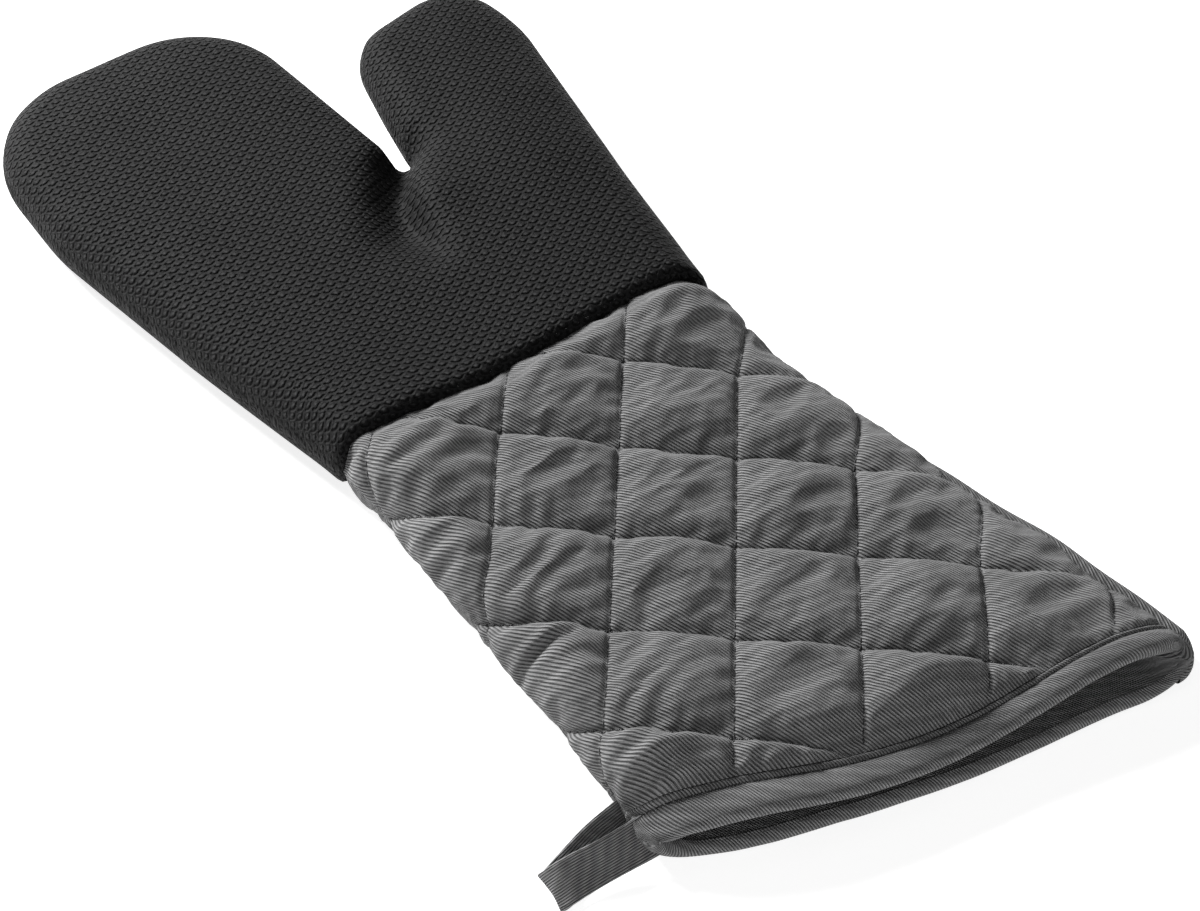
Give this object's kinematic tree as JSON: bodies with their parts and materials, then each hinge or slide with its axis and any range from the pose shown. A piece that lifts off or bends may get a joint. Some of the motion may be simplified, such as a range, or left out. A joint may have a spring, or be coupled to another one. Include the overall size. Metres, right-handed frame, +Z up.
{
  "type": "oven mitt",
  "caption": "Long gauntlet oven mitt: moulded hand with finger and thumb pockets, diamond-quilted twill cuff, bound hem and side hanging loop, lying flat.",
  "frame": {"origin": "middle of the outer box, on the surface that the mitt lies on", "axes": "+Z up out of the front panel, +Y along the hand to the fingertips, +X to the thumb side"},
  "size_m": [0.2262, 0.437, 0.026],
  "materials": {
    "neoprene": "matt charcoal with a fine moulded scale relief",
    "twill": "mid-grey cotton twill with fine diagonal ribs",
    "lining": "plain undyed cotton",
    "wadding": "soft needled cotton wadding",
    "thread": "dark grey sewing thread"
  },
  "bodies": {
    "mitt": {"palm_shell_front": "neoprene", "palm_wadding_front": "wadding", "palm_lining_front": "lining", "palm_shell_back": "neoprene", "palm_wadding_back": "wadding", "palm_lining_back": "lining", "cuff_shell_front": "twill", "cuff_wadding_front": "wadding", "cuff_lining_front": "lining", "cuff_shell_back": "twill", "cuff_wadding_back": "wadding", "cuff_lining_back": "lining", "hem_band_front": "twill", "hem_band_back": "twill", "hem_facing_front": "twill", "hem_facing_back": "twill", "hem_stitch_front": "thread", "hem_stitch_back": "thread", "quilting_thread_front": "thread", "quilting_thread_back": "thread", "wrist_stitch_front": "thread", "wrist_stitch_back": "thread", "side_seam_lip": "twill", "loop_tab": "twill"},
    "fingers": {"finger_shell_front": "neoprene", "finger_wadding_front": "wadding", "finger_lining_front": "lining", "finger_shell_back": "neoprene", "finger_wadding_back": "wadding", "finger_lining_back": "lining"},
    "thumb": {"thumb_shell_front": "neoprene", "thumb_wadding_front": "wadding", "thumb_lining_front": "lining", "thumb_shell_back": "neoprene", "thumb_wadding_back": "wadding", "thumb_lining_back": "lining"},
    "loop": {"hanging_loop": "twill"}
  },
  "joints": [
    {"name": "finger_flex", "type": "hinge", "parent": "mitt", "child": "fingers", "pos_m": [-0.02653, 0.1205, 0.013], "axis": [1, 0, 0], "range_deg": [0, 60], "stiffness_Nm_per_rad": 0.06},
    {"name": "thumb_flex", "type": "hinge", "parent": "mitt", "child": "thumb", "pos_m": [0.03949, 0.11885, 0.013], "axis": [0.9703, -0.2419, 0], "range_deg": [0, 45], "stiffness_Nm_per_rad": 0.04},
    {"name": "loop_swing", "type": "hinge", "parent": "mitt", "child": "loop", "pos_m": [-0.08074, -0.1675, 0.013], "axis": [0, 1, 0], "range_deg": [0, 90]}
  ]
}
